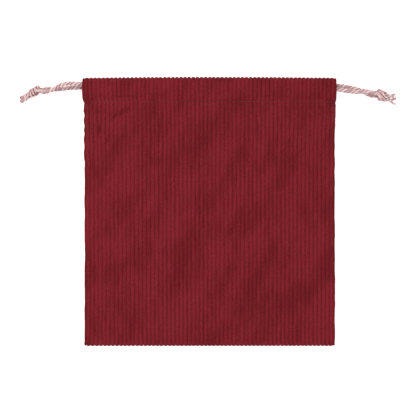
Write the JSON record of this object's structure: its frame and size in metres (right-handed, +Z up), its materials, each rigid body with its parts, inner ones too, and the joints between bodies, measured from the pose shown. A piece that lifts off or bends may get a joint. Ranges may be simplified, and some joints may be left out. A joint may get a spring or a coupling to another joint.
{
  "type": "drawstring pouch",
  "caption": "flat rectangular corduroy drawstring pouch with a casing along its mouth and a knotted twisted drawstring leaving each side",
  "frame": {"origin": "on the ground under the middle of the pouch's box, drawstrings' loose ends left out", "axes": "+Z up through the pouch's thickness, +Y from the bottom fold to the mouth, +X to the right looking down with the mouth away from you"},
  "size_m": [0.3036, 0.215, 0.0187],
  "materials": {
    "corduroy": "dark red wide-wale cotton corduroy, brushed pile in ribs up the pouch",
    "drawstring_twist": "dusty pink three-ply twisted cord, soft matt"
  },
  "bodies": {
    "root": {"pouch_body": "corduroy", "left_drawstring": "drawstring_twist", "right_drawstring": "drawstring_twist"}
  },
  "joints": []
}
